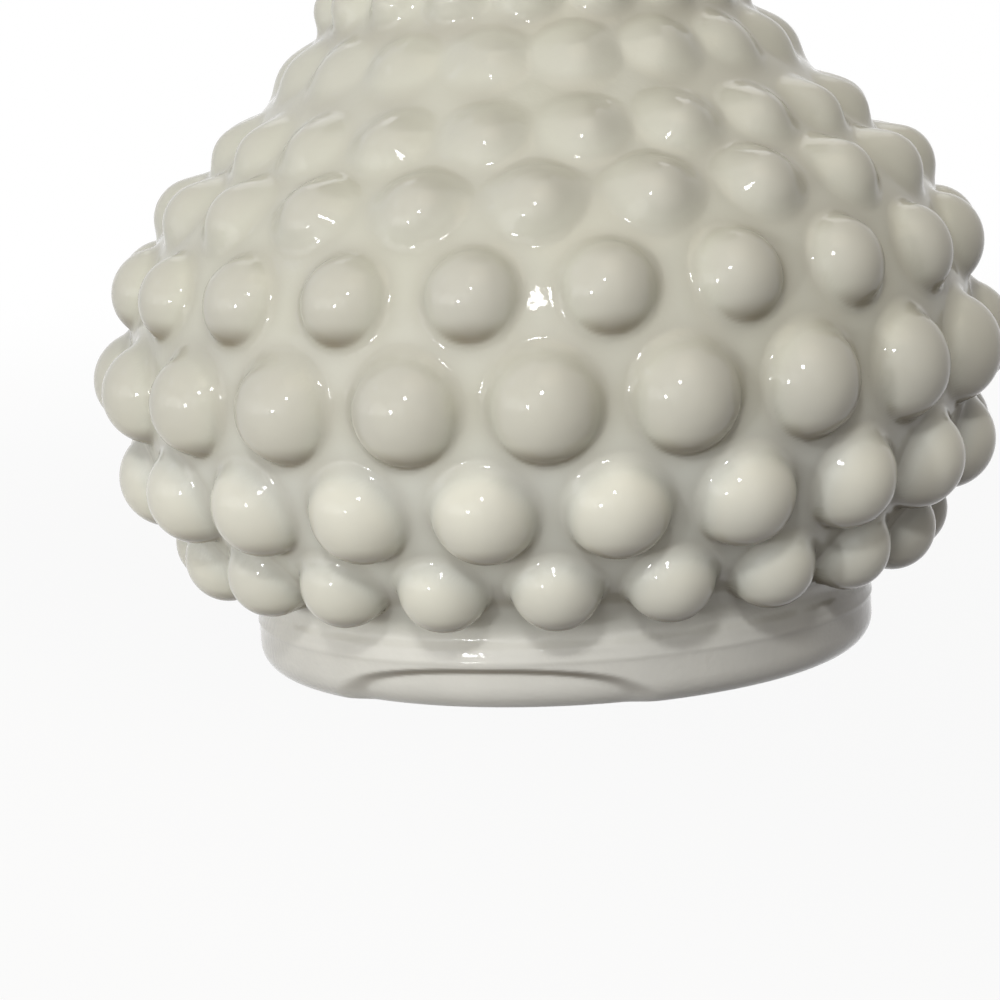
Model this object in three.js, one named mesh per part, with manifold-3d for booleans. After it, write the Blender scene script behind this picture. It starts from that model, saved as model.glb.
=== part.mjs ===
// A hobnail vase in opaque white pressed glass: a collar foot, a squat bowl, a neck and a crimped mouth.
// Units are millimetres, +Z is up, and the origin is the middle of the foot on the table.
// The real vase is one continuous piece of glass. Here its zones are stacked solids that meet face to face.
import * as THREE from 'three';
import { mergeVertices } from 'three/addons/utils/BufferGeometryUtils.js';
import Module from 'manifold-3d';

const wasm = await Module();
wasm.setup();

// Foot: a low collar with a rounded edge, hollow underneath
const footRadius = 33;
const collarHeight = 6.4;
const footEdgeRadius = 2.8;
const collarEdgeRadius = 1.2;
const footWallThickness = 6;
const footRecessTaper = 1.6;

// Bowl: two oval arcs, from the belly down to the waist over the foot and up to the shoulder
const waistInset = 1;
const waistRise = 2.8;
const bellyRadius = 44.9;
const bellyHeight = 31.9;
const shoulderRadius = 33.4;
const shoulderHeight = 55.3;
const lowerArcSweep = THREE.MathUtils.degToRad(64);
const upperArcSweep = THREE.MathUtils.degToRad(60);

// Neck and mouth
const neckBaseRadius = 21;
const neckBaseHeight = 69.9;
const neckRadius = 16.4;
const neckHeight = 86;
const flareRadius = 21.4;
const flareHeight = 105;
const mouthRadius = 33;
const vaseHeight = 121;

// Thickness of the glass in the wall and in the floor of the well
const wallThickness = 4.6;
const floorThickness = 4.8;
const wellCornerRadius = 4;

// Hobs: domes in rows, each row half a pitch round from its neighbour
const bowlHobsPerRow = 21;
const neckHobsPerRow = 18;
const neckHobsFromHeight = 59;
const bowlHobWidthInPitches = 0.81;
const neckHobWidthInPitches = 0.86;
const bowlRowStepInPitches = 0.787;
const neckRowStepInPitches = 0.98;
const hobRiseInRadii = 0.7;
const rowGap = 0.05;
const plainMouthBand = 5;
const rowsInBellyZone = 2;

// Mouth edge: lifted and pushed out in even crimps that die out down the flare
const crimpCount = 6;
const crimpLift = 2.4;
const crimpPush = 2.6;
const crimpDepth = 28;

// Shallow lens-shaped flat low on the front of the foot
const flatWidth = 31;
const flatMargin = 0.6;
const flatDepth = 0.7;
const flatTurn = THREE.MathUtils.degToRad(-12.5);

// Facets
const bowlHobSides = 8;
const bowlHobBands = 3;
const neckHobSides = 6;
const neckHobBands = 2;
const outlineSamples = 600;
const innerRingSpacing = 6;
const edgeSteps = 4;
const flatSteps = 12;
const rowSpacingPasses = 12;
const weldDistance = 1e-3;

const milkGlassColor = 0xdcdcd2;
const milkGlassRoughness = 0.08;

// The front of the vase faces -Y
const front = -Math.PI / 2;

// Levels and places that follow from the sizes
const footRecessDepth = collarHeight - collarEdgeRadius;
const wellFloorHeight = footRecessDepth + floorThickness;
const flatHeight = footRecessDepth - flatMargin;
const waist = new THREE.Vector2(footRadius - waistInset, collarHeight + waistRise);
const belly = new THREE.Vector2(bellyRadius, bellyHeight);
const shoulder = new THREE.Vector2(shoulderRadius, shoulderHeight);

// A point of the oval arc from the belly to an end, a share of its sweep from the belly
function arcPoint(end, sweep, share) {
  return new THREE.Vector2(
    THREE.MathUtils.lerp(belly.x, end.x, (1 - Math.cos(sweep * share)) / (1 - Math.cos(sweep))),
    THREE.MathUtils.lerp(belly.y, end.y, Math.sin(sweep * share) / Math.sin(sweep)),
  );
}

// The outline of the glass under the hobs, as evenly spaced points of radius and height
function makeOutline() {
  const curve = new THREE.SplineCurve([
    waist,
    arcPoint(waist, lowerArcSweep, 2 / 3),
    arcPoint(waist, lowerArcSweep, 1 / 3),
    belly,
    arcPoint(shoulder, upperArcSweep, 1 / 3),
    arcPoint(shoulder, upperArcSweep, 2 / 3),
    shoulder,
    new THREE.Vector2(neckBaseRadius, neckBaseHeight),
    new THREE.Vector2(neckRadius, neckHeight),
    new THREE.Vector2(flareRadius, flareHeight),
    new THREE.Vector2(mouthRadius, vaseHeight),
  ]);
  return { points: curve.getSpacedPoints(outlineSamples), length: curve.getLength() };
}

const outline = makeOutline();

// The outline's point, and its outward normal, at a distance along it from the foot
function outlineAt(distance) {
  const place = THREE.MathUtils.clamp(distance / outline.length, 0, 1) * outlineSamples;
  const index = Math.min(Math.floor(place), outlineSamples - 1);
  const from = outline.points[index];
  const to = outline.points[index + 1];
  const along = to.clone().sub(from).normalize();
  return { point: from.clone().lerp(to, place - index), normal: new THREE.Vector2(along.y, -along.x) };
}

// The distance along the outline at which it reaches a height
function distanceAtHeight(height) {
  const index = Math.max(outline.points.findIndex((point) => point.y >= height), 1);
  const from = outline.points[index - 1];
  const to = outline.points[index];
  return (index - 1 + (height - from.y) / (to.y - from.y)) * outline.length / outlineSamples;
}

// The distance of the next row, a set share of the two rows' mean pitch further up or down
function nextDistance(distance, hobsPerRow, stepInPitches, direction) {
  let next = distance;
  for (let pass = 0; pass < rowSpacingPasses; pass += 1) {
    const meanRadius = (outlineAt(distance).point.x + outlineAt(next).point.x) / 2;
    next = distance + direction * stepInPitches * 2 * Math.PI * meanRadius / hobsPerRow;
  }
  return next;
}

// Every row of hobs from the foot up, each with the band of wall that it stands on
function makeRows() {
  const lowest = distanceAtHeight(wellFloorHeight);
  const highest = outline.length - plainMouthBand;
  const rows = [];

  let isShifted = false;
  let distance = distanceAtHeight(bellyHeight);
  while (outlineAt(distance).point.y < neckHobsFromHeight) {
    rows.push({ level: rows.length, distance, hobsPerRow: bowlHobsPerRow, isShifted });
    isShifted = !isShifted;
    distance = nextDistance(distance, bowlHobsPerRow, bowlRowStepInPitches, 1);
  }
  isShifted = !isShifted;
  distance = nextDistance(rows[rows.length - 1].distance, neckHobsPerRow, neckRowStepInPitches, 1);
  let rowHeight = distance - rows[rows.length - 1].distance;
  while (distance + rowHeight / 2 < highest) {
    rows.push({ level: rows.length, distance, hobsPerRow: neckHobsPerRow, isShifted });
    isShifted = !isShifted;
    const next = nextDistance(distance, neckHobsPerRow, neckRowStepInPitches, 1);
    rowHeight = next - distance;
    distance = next;
  }

  isShifted = true;
  distance = nextDistance(rows[0].distance, bowlHobsPerRow, bowlRowStepInPitches, -1);
  rowHeight = rows[0].distance - distance;
  while (distance - rowHeight / 2 > lowest) {
    rows.unshift({ level: rows[0].level - 1, distance, hobsPerRow: bowlHobsPerRow, isShifted });
    isShifted = !isShifted;
    const next = nextDistance(distance, bowlHobsPerRow, bowlRowStepInPitches, -1);
    rowHeight = distance - next;
    distance = next;
  }
  return rows.map((row, index) => sizeRow(row, rows[index - 1], rows[index + 1]));
}

// Gives a row its band of wall, half way to each neighbour, and domes that fit inside the band
function sizeRow(row, below, above) {
  const { point } = outlineAt(row.distance);
  const isBowlRow = row.hobsPerRow === bowlHobsPerRow;
  const pitch = 2 * Math.PI * point.x / row.hobsPerRow;
  const stepDown = row.distance - (below ? below.distance : 2 * row.distance - above.distance);
  const stepUp = (above ? above.distance : 2 * row.distance - below.distance) - row.distance;
  const room = Math.min(stepDown, stepUp) / 2 - rowGap;
  const radius = Math.min(pitch * (isBowlRow ? bowlHobWidthInPitches : neckHobWidthInPitches) / 2, room);
  const rise = hobRiseInRadii * radius;
  return {
    ...row,
    height: point.y,
    low: row.distance - stepDown / 2,
    high: row.distance + stepUp / 2,
    ballRadius: (radius ** 2 + rise ** 2) / (2 * rise),
    rise,
    halfPitch: Math.PI / row.hobsPerRow,
    sides: isBowlRow ? bowlHobSides : neckHobSides,
    bands: isBowlRow ? bowlHobBands : neckHobBands,
  };
}

// The crimping tool's move: out and up at a crest, in and down between crests
function crimp(radius, angle, height) {
  const strength = THREE.MathUtils.clamp(1 - (vaseHeight - height) / crimpDepth, 0, 1) ** 2;
  const wave = Math.cos(crimpCount * (angle - front)) * strength;
  return new THREE.Vector3(
    (radius + crimpPush * wave) * Math.cos(angle),
    (radius + crimpPush * wave) * Math.sin(angle),
    height + crimpLift * wave,
  );
}

// A point of the wall, raised off it along its normal
function wallPoint(distance, angle, rise = 0) {
  const { point, normal } = outlineAt(distance);
  return crimp(point.x + normal.x * rise, angle, point.y + normal.y * rise);
}

// A ring of points round the vase, anticlockwise from the front, two to each hob of the zone
function ring(hobsPerRow, radius, height) {
  return Array.from({ length: 2 * hobsPerRow }, (_, index) => (
    crimp(radius, front + Math.PI * index / hobsPerRow, height)
  ));
}

// Triangles between two rings of the same count, facing out where the second is above the first
function joinRings(triangles, first, second) {
  first.forEach((point, index) => {
    const after = (index + 1) % first.length;
    triangles.push(point, first[after], second[after], point, second[after], second[index]);
  });
}

// Triangles between a loop and a larger loop round it, each a list of points with rising angles
function joinLoops(triangles, inner, outer) {
  const at = (loop, index) => loop[index % loop.length];
  const turn = (loop, index) => at(loop, index).turn + 2 * Math.PI * Math.floor(index / loop.length);
  let innerIndex = 0;
  let outerIndex = 0;
  while (innerIndex < inner.length || outerIndex < outer.length) {
    const isOuterNext = innerIndex === inner.length
      || (outerIndex < outer.length && turn(outer, outerIndex + 1) < turn(inner, innerIndex + 1));
    triangles.push(at(inner, innerIndex).point, at(outer, outerIndex).point);
    if (isOuterNext) {
      outerIndex += 1;
      triangles.push(at(outer, outerIndex).point);
    } else {
      innerIndex += 1;
      triangles.push(at(inner, innerIndex).point);
    }
  }
}

// One dome and the tile of wall round it, whose six corners are shared with the tiles beside it
function addHob(triangles, row, index) {
  const angle = front + 2 * row.halfPitch * (index + (row.isShifted ? 0.5 : 0));
  const radius = outlineAt(row.distance).point.x;
  const capAngle = Math.acos(1 - row.rise / row.ballRadius);
  const top = wallPoint(row.distance, angle, row.rise);
  let loop = null;
  for (let band = 1; band <= row.bands; band += 1) {
    const tilt = capAngle * band / row.bands;
    const reach = row.ballRadius * Math.sin(tilt);
    const rise = row.rise - row.ballRadius * (1 - Math.cos(tilt));
    const next = Array.from({ length: row.sides }, (_, side) => {
      const turn = 2 * Math.PI * (side + 0.5) / row.sides;
      const aside = reach * Math.cos(turn) / radius;
      return { turn, point: wallPoint(row.distance + reach * Math.sin(turn), angle + aside, rise) };
    });
    if (loop) {
      joinLoops(triangles, loop, next);
    } else {
      next.forEach((corner, side) => triangles.push(top, corner.point, next[(side + 1) % row.sides].point));
    }
    loop = next;
  }
  const corners = [
    [row.high, 1],
    [row.high, 0],
    [row.high, -1],
    [row.low, -1],
    [row.low, 0],
    [row.low, 1],
  ].map(([distance, side]) => ({
    turn: THREE.MathUtils.euclideanModulo(
      Math.atan2(distance - row.distance, side * row.halfPitch * radius),
      2 * Math.PI,
    ),
    point: wallPoint(distance, angle + side * row.halfPitch),
  }));
  joinLoops(triangles, loop, corners);
}

// The inside of the wall as points of radius and height, from the well floor's corner up to the mouth
function makeInnerWall() {
  const lowest = wellFloorHeight + wellCornerRadius;
  return outline.points
    .map((_, index) => outlineAt(outline.length * index / outlineSamples))
    .map(({ point, normal }) => point.addScaledVector(normal, -wallThickness))
    .filter((point) => point.y > lowest);
}

const innerWall = makeInnerWall();

function innerPoint(height) {
  const index = innerWall.findIndex((point) => point.y >= height);
  if (index < 1) {
    return new THREE.Vector2(innerWall[0].x, height);
  }
  const from = innerWall[index - 1];
  const to = innerWall[index];
  return from.clone().lerp(to, (height - from.y) / (to.y - from.y));
}

// Points of the inner wall from one level down to another
function innerPointsDown(high, low) {
  const steps = Math.ceil((high - low) / innerRingSpacing);
  return Array.from({ length: steps + 1 }, (_, step) => innerPoint(high + (low - high) * step / steps));
}

// Points of a round from one angle in degrees to another, about a centre of radius and height
function roundEdge(centre, radius, startDegrees, endDegrees) {
  return Array.from({ length: edgeSteps + 1 }, (_, step) => {
    const angle = THREE.MathUtils.degToRad(startDegrees + (endDegrees - startDegrees) * step / edgeSteps);
    return new THREE.Vector2(centre.x + radius * Math.cos(angle), centre.y + radius * Math.sin(angle));
  });
}

// The plain glass above the last row, over the rounded mouth edge to the inside
function mouthPoints(lastRow) {
  const { point, normal } = outlineAt(outline.length);
  const centre = point.clone().addScaledVector(normal, -wallThickness / 2);
  const turn = THREE.MathUtils.radToDeg(Math.atan2(normal.y, normal.x));
  const belowEdge = outlineAt((lastRow.high + outline.length) / 2).point;
  return [belowEdge, ...roundEdge(centre, wallThickness / 2, turn, turn + 180)];
}

// The round where the wall turns into the well floor, down to the floor and out to the wall's outside
function wellCornerPoints() {
  const cornerCentre = new THREE.Vector2(
    innerWall[0].x - wellCornerRadius,
    wellFloorHeight + wellCornerRadius,
  );
  const corner = roundEdge(cornerCentre, wellCornerRadius, 0, -90).slice(1);
  return [...corner, outlineAt(distanceAtHeight(wellFloorHeight)).point];
}

// A zone of the hobbed wall as a closed solid: rows of tiles outside, and rings over the top and down inside
function makeHobbedZone(rows, isTop, isBottom) {
  const triangles = [];
  rows.forEach((row) => {
    for (let index = 0; index < row.hobsPerRow; index += 1) {
      addHob(triangles, row, index);
    }
  });
  const lowEdge = outlineAt(rows[0].low).point;
  const highEdge = outlineAt(rows[rows.length - 1].high).point;
  const innerTop = isTop ? innerWall[innerWall.length - 1].y : highEdge.y;
  const innerBottom = isBottom ? innerWall[0].y : lowEdge.y;
  const points = [
    highEdge,
    ...(isTop ? mouthPoints(rows[rows.length - 1]).slice(0, -1) : []),
    ...innerPointsDown(innerTop, innerBottom),
    ...(isBottom ? wellCornerPoints() : []),
    lowEdge,
  ];
  const rings = points.map((point) => ring(rows[0].hobsPerRow, point.x, point.y));
  rings.slice(1).forEach((next, index) => joinRings(triangles, rings[index], next));
  return mergeVertices(new THREE.BufferGeometry().setFromPoints(triangles), weldDistance);
}

// A closed turned form from points of radius and height, stood up so that its axis is Z
function turned(profile) {
  return new THREE.LatheGeometry(profile, 2 * bowlHobsPerRow).rotateX(Math.PI / 2);
}

function toSolid(geometry) {
  geometry.deleteAttribute('normal');
  geometry.deleteAttribute('uv');
  const merged = mergeVertices(geometry, weldDistance);
  return new wasm.Manifold(new wasm.Mesh({
    numProp: 3,
    vertProperties: new Float32Array(merged.attributes.position.array),
    triVerts: new Uint32Array(merged.index.array),
  }));
}

function fromSolid(solid) {
  const { vertProperties, triVerts } = solid.getMesh();
  const geometry = new THREE.BufferGeometry();
  geometry.setAttribute('position', new THREE.BufferAttribute(vertProperties, 3));
  geometry.setIndex(new THREE.BufferAttribute(triVerts, 1));
  return geometry;
}

// What the front flat takes away: a half-oval window low on the foot, no deeper than the flat's depth
function makeFlatCutter() {
  const window = new THREE.Shape();
  window.absellipse(0, 0, flatWidth / 2, flatHeight, 0, Math.PI, false, 0);
  window.closePath();
  const cutter = new THREE.ExtrudeGeometry(window, {
    depth: footRadius + flatDepth,
    bevelEnabled: false,
    curveSegments: flatSteps,
  });
  cutter.rotateX(Math.PI / 2);
  cutter.rotateZ(flatTurn);
  const core = turned([
    new THREE.Vector2(0, -flatHeight),
    new THREE.Vector2(footRadius - flatDepth, -flatHeight),
    new THREE.Vector2(footRadius - flatDepth, 2 * flatHeight),
    new THREE.Vector2(0, 2 * flatHeight),
  ]);
  return toSolid(cutter).subtract(toSolid(core));
}

// The ring that the vase stands on, up to the roof of its hollow underside
function makeFootRing() {
  const recessRadius = footRadius - footWallThickness;
  const edgeCentre = new THREE.Vector2(footRadius - footEdgeRadius, footEdgeRadius);
  const profile = [
    new THREE.Vector2(recessRadius - footRecessTaper, footRecessDepth),
    new THREE.Vector2(recessRadius, 0),
    ...roundEdge(edgeCentre, footEdgeRadius, -90, 0),
    new THREE.Vector2(footRadius, footRecessDepth),
    new THREE.Vector2(recessRadius - footRecessTaper, footRecessDepth),
  ];
  return fromSolid(toSolid(turned(profile)).subtract(makeFlatCutter()));
}

// The disc between the hollow underside and the well, with the top of the collar round it
function makeWellFloor() {
  const edgeCentre = new THREE.Vector2(footRadius - collarEdgeRadius, collarHeight - collarEdgeRadius);
  const profile = [
    new THREE.Vector2(0, footRecessDepth),
    new THREE.Vector2(footRadius, footRecessDepth),
    ...roundEdge(edgeCentre, collarEdgeRadius, 0, 90).slice(1),
    waist,
    outlineAt(distanceAtHeight(wellFloorHeight)).point,
    new THREE.Vector2(0, wellFloorHeight),
  ];
  return fromSolid(toSolid(turned(profile)));
}

function toMesh(geometry, name) {
  geometry.computeVertexNormals();
  const material = new THREE.MeshStandardMaterial({
    color: milkGlassColor,
    roughness: milkGlassRoughness,
    metalness: 0,
  });
  const mesh = new THREE.Mesh(geometry, material);
  mesh.name = name;
  return mesh;
}

// The zone of the glass that a row of hobs belongs to
function zoneOf(row) {
  if (row.level < 0) {
    return 'lower_bowl';
  }
  if (row.level < rowsInBellyZone) {
    return 'belly';
  }
  if (row.hobsPerRow === bowlHobsPerRow) {
    return 'shoulder';
  }
  return row.height < neckHeight ? 'neck' : 'crimped_mouth';
}

function makeVase() {
  const vase = new THREE.Group();
  vase.add(toMesh(makeFootRing(), 'foot_ring'));
  vase.add(toMesh(makeWellFloor(), 'well_floor'));
  const rows = makeRows();
  const zones = [...new Set(rows.map(zoneOf))];
  zones.forEach((name, index) => {
    const inZone = rows.filter((row) => zoneOf(row) === name);
    vase.add(toMesh(makeHobbedZone(inZone, index === zones.length - 1, index === 0), name));
  });
  return vase;
}

export default makeVase();
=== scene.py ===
# %% [markdown]
# A hobnail vase in opaque white pressed glass, dressed for its portrait. The real vase is one
# piece of glass: a collar foot, a squat bowl, a neck and a crimped mouth, covered with rows of
# round bumps, which makers call hobs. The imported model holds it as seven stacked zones, so this
# script models the whole skin at once and then cuts it into the same seven zones. That way no
# seam shows where two zones meet.

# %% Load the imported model
import math

import bpy
import numpy as np
from mathutils import Matrix, Vector


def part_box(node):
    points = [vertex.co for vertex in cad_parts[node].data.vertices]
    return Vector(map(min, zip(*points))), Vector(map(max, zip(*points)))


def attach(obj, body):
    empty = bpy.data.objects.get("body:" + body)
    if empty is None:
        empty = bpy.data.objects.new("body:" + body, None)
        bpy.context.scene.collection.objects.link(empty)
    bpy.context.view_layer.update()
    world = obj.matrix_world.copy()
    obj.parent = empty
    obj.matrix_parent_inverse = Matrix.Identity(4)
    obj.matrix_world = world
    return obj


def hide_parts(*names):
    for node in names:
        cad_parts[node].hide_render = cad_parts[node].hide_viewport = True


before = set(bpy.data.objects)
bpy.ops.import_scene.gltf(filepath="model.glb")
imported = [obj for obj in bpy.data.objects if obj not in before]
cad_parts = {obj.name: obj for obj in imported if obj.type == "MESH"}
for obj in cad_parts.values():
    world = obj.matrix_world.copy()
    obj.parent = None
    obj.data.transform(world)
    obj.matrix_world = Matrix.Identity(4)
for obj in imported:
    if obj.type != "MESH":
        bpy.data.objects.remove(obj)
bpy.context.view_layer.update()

MM = 0.001

# %% [markdown]
# A maker starts from a drawing: a few heights and radii that everything else follows. The two
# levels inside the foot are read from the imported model, so they can't drift from it. The outline
# of the bowl, neck and mouth repeats the drawing's own sizes, in millimetres, because the packed
# model is faceted and no longer knows its curves. The cuts between the upper zones follow from the
# rows further down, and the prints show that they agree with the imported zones.

# %% The drawing's sizes
ZONES = ["foot_ring", "well_floor", "lower_bowl", "belly", "shoulder", "neck", "crimped_mouth"]
zone_floor = {name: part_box(name)[0][2] / MM for name in ZONES}

FOOT_RADIUS = 33.0
COLLAR_HEIGHT = 6.4
FOOT_EDGE_RADIUS = 2.8
RECESS_RADIUS = 27.0
RECESS_ROOF_RADIUS = 25.4
RECESS_HEIGHT = zone_floor["well_floor"]
WELL_FLOOR_HEIGHT = zone_floor["lower_bowl"]
WELL_CORNER_RADIUS = 4.0
WALL = 4.6

WAIST = np.array([32.0, 9.2])
BELLY = np.array([44.9, 31.9])
SHOULDER = np.array([33.4, 55.3])
NECK_BASE = np.array([21.0, 69.9])
NECK = np.array([16.4, 86.0])
FLARE = np.array([21.4, 105.0])
MOUTH = np.array([33.0, 121.0])
LOWER_SWEEP = math.radians(64)
UPPER_SWEEP = math.radians(60)
print("zone floors, mm:", {name: round(float(level), 2) for name, level in zone_floor.items()})

# %% [markdown]
# The outline is the wall without its hobs. A smooth curve through a few points gives it: the
# collar of the foot, two oval arcs for the bowl, then the neck and the flare. The curve rounds the
# waist, where bowl and collar meet, as soft glass does. It is resampled at even steps, so a
# distance along the glass can be turned into a place and a normal at once.

# %% Outline of the wall
OUTLINE_SAMPLES = 600


def arc_point(end, sweep, share):
    """A point of the oval arc from the belly to an end, a share of its sweep from the belly."""
    along_radius = (1 - math.cos(sweep * share)) / (1 - math.cos(sweep))
    along_height = math.sin(sweep * share) / math.sin(sweep)
    return BELLY + (end - BELLY) * np.array([along_radius, along_height])


def smooth_curve(points, steps=200):
    """A uniform Catmull-Rom curve through the points, with its end points repeated."""
    padded = [points[0], *points, points[-1]]
    share = np.linspace(0, 1, steps, endpoint=False)[:, None]
    pieces = []
    for p0, p1, p2, p3 in zip(padded, padded[1:], padded[2:], padded[3:]):
        v0 = (p2 - p0) / 2
        v1 = (p3 - p1) / 2
        cubic = (2 * p1 - 2 * p2 + v0 + v1) * share ** 3
        square = (-3 * p1 + 3 * p2 - 2 * v0 - v1) * share ** 2
        pieces.append(cubic + square + v0 * share + p1)
    return np.vstack([*pieces, points[-1:]])


outline_points = np.array([
    (FOOT_RADIUS, RECESS_HEIGHT),
    (FOOT_RADIUS - 0.15, COLLAR_HEIGHT),
    (FOOT_RADIUS - 0.6, COLLAR_HEIGHT + 1.6),
    arc_point(WAIST, LOWER_SWEEP, 0.88),
    arc_point(WAIST, LOWER_SWEEP, 2 / 3),
    arc_point(WAIST, LOWER_SWEEP, 1 / 3),
    BELLY,
    arc_point(SHOULDER, UPPER_SWEEP, 1 / 3),
    arc_point(SHOULDER, UPPER_SWEEP, 2 / 3),
    SHOULDER,
    NECK_BASE,
    NECK,
    FLARE,
    MOUTH,
])
fine_outline = smooth_curve(outline_points)
fine_length = np.concatenate([[0], np.cumsum(np.linalg.norm(np.diff(fine_outline, axis=0), axis=1))])
OUTLINE_LENGTH = fine_length[-1]


def outline_at(distance):
    """Places (radius, height) of the wall at distances along it from the foot."""
    return np.stack([np.interp(distance, fine_length, fine_outline[:, axis]) for axis in (0, 1)], -1)


def normal_at(distance):
    """Outward normals (radius, height) of the wall at distances along it."""
    nudge = 0.05
    above = outline_at(np.minimum(distance + nudge, OUTLINE_LENGTH))
    along = above - outline_at(np.maximum(distance - nudge, 0))
    along /= np.linalg.norm(along, axis=-1, keepdims=True)
    return np.stack([along[..., 1], -along[..., 0]], -1)


def distance_at_height(height):
    """The distance along the wall at which it reaches a height."""
    return float(np.interp(height, fine_outline[:, 1], fine_length))


print("wall length, mm:", round(OUTLINE_LENGTH, 2))

# %% [markdown]
# Hobs stand in rows, each row half a pitch round from the next, so they nest like eggs in a tray.
# The rows are laid out from the belly: up to the shoulder, on to the neck with fewer hobs to a
# row, and down to the foot. A row's band of wall starts half way down to the row below, and a zone
# starts where the band of its lowest row does.

# %% Rows of hobs
BOWL_HOBS = 21
NECK_HOBS = 18
NECK_HOBS_FROM = 59.0
BOWL_STEP = 0.787
NECK_STEP = 0.98
PLAIN_MOUTH_BAND = 5.0
ROWS_IN_BELLY = 2
STEP_TRIES = 12


def next_distance(distance, hobs, step, direction):
    """The distance of the next row, a set share of the two rows' mean pitch further on."""
    following = distance
    for _ in range(STEP_TRIES):
        mean_radius = (outline_at(distance)[0] + outline_at(following)[0]) / 2
        following = distance + direction * step * 2 * math.pi * mean_radius / hobs
    return following


def row_at(level, distance, hobs, shifted):
    """One row: its level from the belly, distance along the wall, hobs and half-pitch shift."""
    return {"level": level, "distance": distance, "hobs": hobs, "shifted": shifted}


def lay_rows():
    """Every row from the foot up."""
    upper = []
    shifted = False
    distance = distance_at_height(BELLY[1])
    while outline_at(distance)[1] < NECK_HOBS_FROM:
        upper.append(row_at(len(upper), distance, BOWL_HOBS, shifted))
        shifted = not shifted
        distance = next_distance(distance, BOWL_HOBS, BOWL_STEP, 1)
    shifted = not shifted
    distance = next_distance(upper[-1]["distance"], NECK_HOBS, NECK_STEP, 1)
    row_height = distance - upper[-1]["distance"]
    while distance + row_height / 2 < OUTLINE_LENGTH - PLAIN_MOUTH_BAND:
        upper.append(row_at(len(upper), distance, NECK_HOBS, shifted))
        shifted = not shifted
        following = next_distance(distance, NECK_HOBS, NECK_STEP, 1)
        row_height = following - distance
        distance = following
    lower = []
    shifted = True
    lowest = distance_at_height(WELL_FLOOR_HEIGHT)
    distance = next_distance(upper[0]["distance"], BOWL_HOBS, BOWL_STEP, -1)
    row_height = upper[0]["distance"] - distance
    while distance - row_height / 2 > lowest:
        lower.insert(0, row_at(-1 - len(lower), distance, BOWL_HOBS, shifted))
        shifted = not shifted
        following = next_distance(distance, BOWL_HOBS, BOWL_STEP, -1)
        row_height = distance - following
        distance = following
    return lower + upper


def zone_of(row):
    """The zone of the glass that a row belongs to."""
    if row["level"] < 0:
        return "lower_bowl"
    if row["level"] < ROWS_IN_BELLY:
        return "belly"
    if row["hobs"] == BOWL_HOBS:
        return "shoulder"
    return "neck" if outline_at(row["distance"])[1] < NECK[1] else "crimped_mouth"


rows = lay_rows()
steps = np.diff([row["distance"] for row in rows])
for index, row in enumerate(rows):
    row["low"] = row["distance"] - steps[max(index - 1, 0)] / 2
    row["zone"] = zone_of(row)
    print("row", row["level"], row["zone"], "height", round(float(outline_at(row["distance"])[1]), 1))

# %% [markdown]
# A hob is a ball sunk in the wall, with a soft fillet round it, because molten glass never fills
# a sharp corner of the mould. One sum does both: the rounded union of two distance fields. Each
# point of the wall is pushed out until it lies on that union, so hobs and wall are one skin. The
# push is square to the wall, except low down, where it turns level so that the lowest hobs can
# hang over the collar. Displacing a plain wall by a picture would smear those hobs.
#
# The rows aren't alike. The tables give each height its own hob width, rise, fillet, lean of the
# fillet and shift up the wall: crisp half balls at the belly, soft low swellings on the shoulder.

# %% Relief of the hobs
COLUMNS = 1008
SYMMETRY = 3
FORM_HEIGHTS = (14.0, 22.0, 33.0, 42.0, 50.0, 57.0, 63.5, 70.0)
HOB_WIDTHS = (0.79, 0.79, 0.785, 0.70, 0.66, 0.67, 0.64, 0.78)
HOB_RISES = (0.84, 0.77, 0.75, 0.68, 0.60, 0.58, 0.47, 0.72)
HOB_FILLETS = (0.75, 0.75, 0.80, 0.65, 1.50, 1.7, 1.8, 1.1)
FILLET_LEANS = (0.35, 0.40, 0.45, 0.10, 0.55, 0.5, 0.3, 0.0)
HOB_SHIFTS = (-0.8, -0.4, 0.0, 0.4, 0.2, 0.0, 0.0, 0.0)
FILLET_REACH = 0.8
VALLEY_BLEND = 0.7
MARCH_STEPS = 40
MARCH_FROM = 5.5
MARCH_SHARE = 0.95
FAR_AWAY = 99.0
PUSH_LEVEL_UNTIL = 7.6
PUSH_SQUARE_FROM = 17.0
FRONT = -math.pi / 2


def form_at(row, values):
    """A row's value from a table over height."""
    return np.interp(outline_at(row["distance"])[1], FORM_HEIGHTS, values)


def hob_ball(row):
    """The ball of a row's hobs: its radius, its centre in section, and the hob's own radius."""
    hob_radius = form_at(row, HOB_WIDTHS) * math.pi * outline_at(row["distance"])[0] / row["hobs"]
    rise = hob_radius * form_at(row, HOB_RISES)
    ball = (hob_radius ** 2 + rise ** 2) / (2 * rise)
    middle = row["distance"] + form_at(row, HOB_SHIFTS)
    return ball, outline_at(middle) + normal_at(middle) * (rise - ball), hob_radius


def soft_min(first, second, blend):
    """The smaller of two distances, rounded where they are nearly equal."""
    overlap = np.maximum(blend - np.abs(first - second), 0)
    return np.minimum(first, second) - overlap ** 2 / (4 * blend)


def push_at(distance):
    """The way each ring is pushed out: level at the collar, square to the wall from the bowl up."""
    normals = normal_at(distance)
    height = outline_at(distance)[..., 1]
    share = np.clip((height - PUSH_LEVEL_UNTIL) / (PUSH_SQUARE_FROM - PUSH_LEVEL_UNTIL), 0, 1)
    turn = np.arctan2(normals[..., 1], normals[..., 0]) * share * (2 - share)
    return np.stack([np.cos(turn), np.sin(turn)], -1)


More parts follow.
